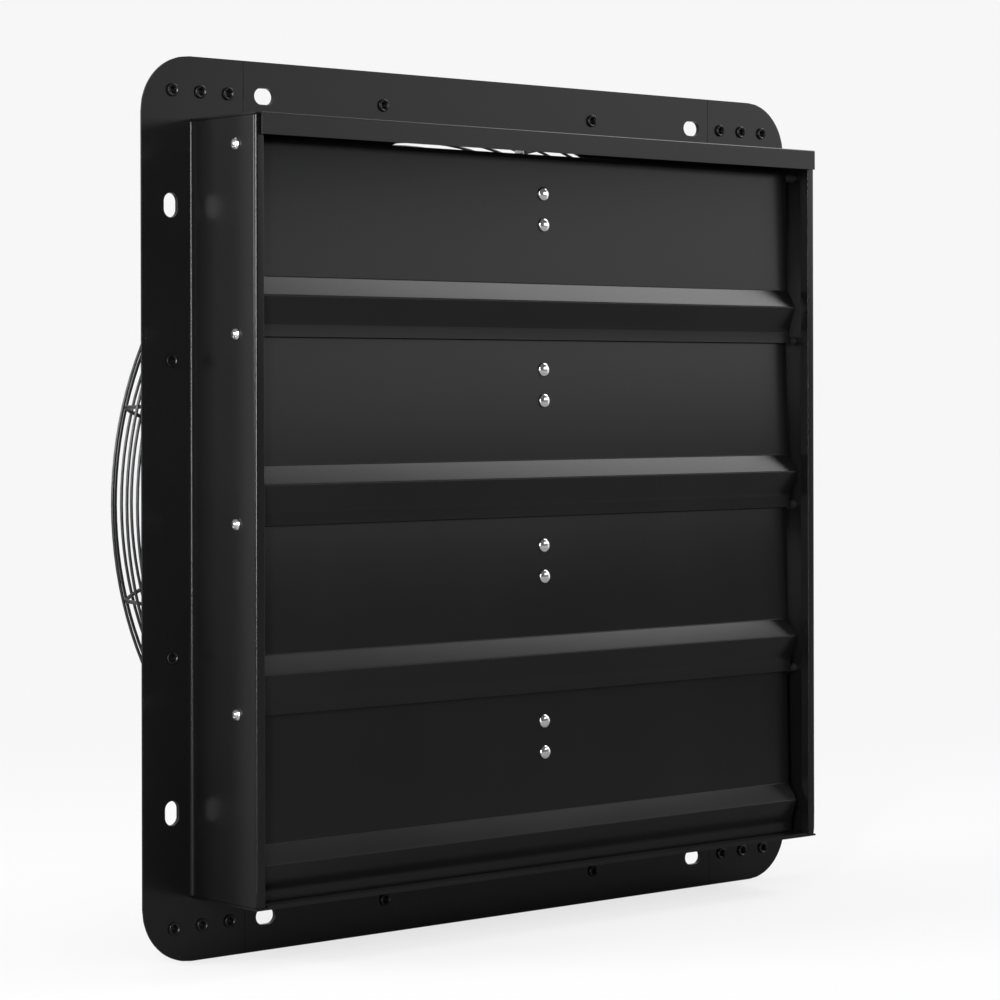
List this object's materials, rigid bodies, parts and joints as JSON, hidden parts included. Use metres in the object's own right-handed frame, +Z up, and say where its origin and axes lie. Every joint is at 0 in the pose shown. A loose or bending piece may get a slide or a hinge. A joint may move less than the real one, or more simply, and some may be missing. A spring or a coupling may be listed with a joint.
{
  "type": "shutter exhaust fan",
  "caption": "Wall exhaust fan with a square flange, a gravity shutter of linked louvers in front and a wire guard with an outer-rotor axial fan behind.",
  "frame": {"origin": "fan axis on the front face of the flange, the face that lies against the wall", "axes": "+Y along the fan axis from the shutter to the guard, +Z up, +X to the right seen from the shutter"},
  "size_m": [0.52, 0.2016, 0.52],
  "materials": {
    "powder_coat": "semi-gloss black powder coat",
    "louver_coat": "semi-gloss dark grey powder coat",
    "guard_wire": "black coated wire",
    "fan_coat": "black coated sheet",
    "bright_rivet": "bright drawn metal",
    "black_screw": "black oxide",
    "zinc_steel": "zinc plated",
    "cast_aluminium": "die cast",
    "stator_winding": "varnished laminations and windings",
    "black_plastic": "moulded black"
  },
  "bodies": {
    "frame": {"side_channel_left": "powder_coat", "side_channel_right": "powder_coat", "top_channel": "powder_coat", "bottom_channel": "powder_coat", "fan_panel": "powder_coat", "corner_screws_1": "black_screw", "corner_screws_2": "black_screw", "corner_screws_3": "black_screw", "corner_screws_4": "black_screw", "edge_screws_top": "black_screw", "edge_screws_right": "black_screw", "edge_screws_bottom": "black_screw", "edge_screws_left": "black_screw", "pivot_pin_left_1": "bright_rivet", "pivot_pin_left_2": "bright_rivet", "pivot_pin_left_3": "bright_rivet", "pivot_pin_left_4": "bright_rivet", "pivot_pin_right_1": "bright_rivet", "pivot_pin_right_2": "bright_rivet", "pivot_pin_right_3": "bright_rivet", "pivot_pin_right_4": "bright_rivet", "wire_guard": "guard_wire", "motor_plate": "powder_coat", "motor_base": "cast_aluminium", "stator_core": "stator_winding", "front_bearing": "zinc_steel", "rear_bearing": "zinc_steel", "terminal_box": "black_plastic", "cable_gland": "black_plastic"},
    "blade_1": {"louver_1": "louver_coat", "rivet_1_upper": "bright_rivet", "rivet_1_lower": "bright_rivet", "link_bracket_1": "zinc_steel", "link_pin_1": "bright_rivet"},
    "blade_2": {"louver_2": "louver_coat", "rivet_2_upper": "bright_rivet", "rivet_2_lower": "bright_rivet", "link_bracket_2": "zinc_steel", "link_pin_2": "bright_rivet"},
    "blade_3": {"louver_3": "louver_coat", "rivet_3_upper": "bright_rivet", "rivet_3_lower": "bright_rivet", "link_bracket_3": "zinc_steel", "link_pin_3": "bright_rivet"},
    "blade_4": {"louver_4": "louver_coat", "rivet_4_upper": "bright_rivet", "rivet_4_lower": "bright_rivet", "link_bracket_4": "zinc_steel", "link_pin_4": "bright_rivet"},
    "link": {"tie_bar": "zinc_steel"},
    "impeller": {"impeller_hub": "fan_coat", "fan_blade_1": "fan_coat", "fan_blade_2": "fan_coat", "fan_blade_3": "fan_coat", "fan_blade_4": "fan_coat", "fan_blade_5": "fan_coat", "motor_shaft": "zinc_steel", "rotor_can": "cast_aluminium"}
  },
  "joints": [
    {"name": "louver_1_hinge", "type": "hinge", "parent": "frame", "child": "blade_1", "pos_m": [0, -0.0436, 0.207], "axis": [-1, 0, 0], "range_deg": [0, 75]},
    {"name": "louver_2_hinge", "type": "hinge", "parent": "frame", "child": "blade_2", "pos_m": [0, -0.0436, 0.0996], "axis": [-1, 0, 0], "range_deg": [0, 75]},
    {"name": "louver_3_hinge", "type": "hinge", "parent": "frame", "child": "blade_3", "pos_m": [0, -0.0436, -0.0078], "axis": [-1, 0, 0], "range_deg": [0, 75]},
    {"name": "louver_4_hinge", "type": "hinge", "parent": "frame", "child": "blade_4", "pos_m": [0, -0.0436, -0.1152], "axis": [-1, 0, 0], "range_deg": [0, 75]},
    {"name": "tie_bar_hinge", "type": "hinge", "parent": "blade_1", "child": "link", "pos_m": [0, -0.01785, 0.21062], "axis": [-1, 0, 0], "range_deg": [-75, 0]},
    {"name": "impeller_spin", "type": "hinge", "parent": "frame", "child": "impeller", "pos_m": [0, 0.05, 0], "axis": [0, 1, 0], "continuous": true}
  ],
  "couplings": [
    {"joint": "louver_2_hinge", "follows": "louver_1_hinge", "ratio": 1},
    {"joint": "louver_3_hinge", "follows": "louver_1_hinge", "ratio": 1},
    {"joint": "louver_4_hinge", "follows": "louver_1_hinge", "ratio": 1},
    {"joint": "tie_bar_hinge", "follows": "louver_1_hinge", "ratio": -1}
  ]
}
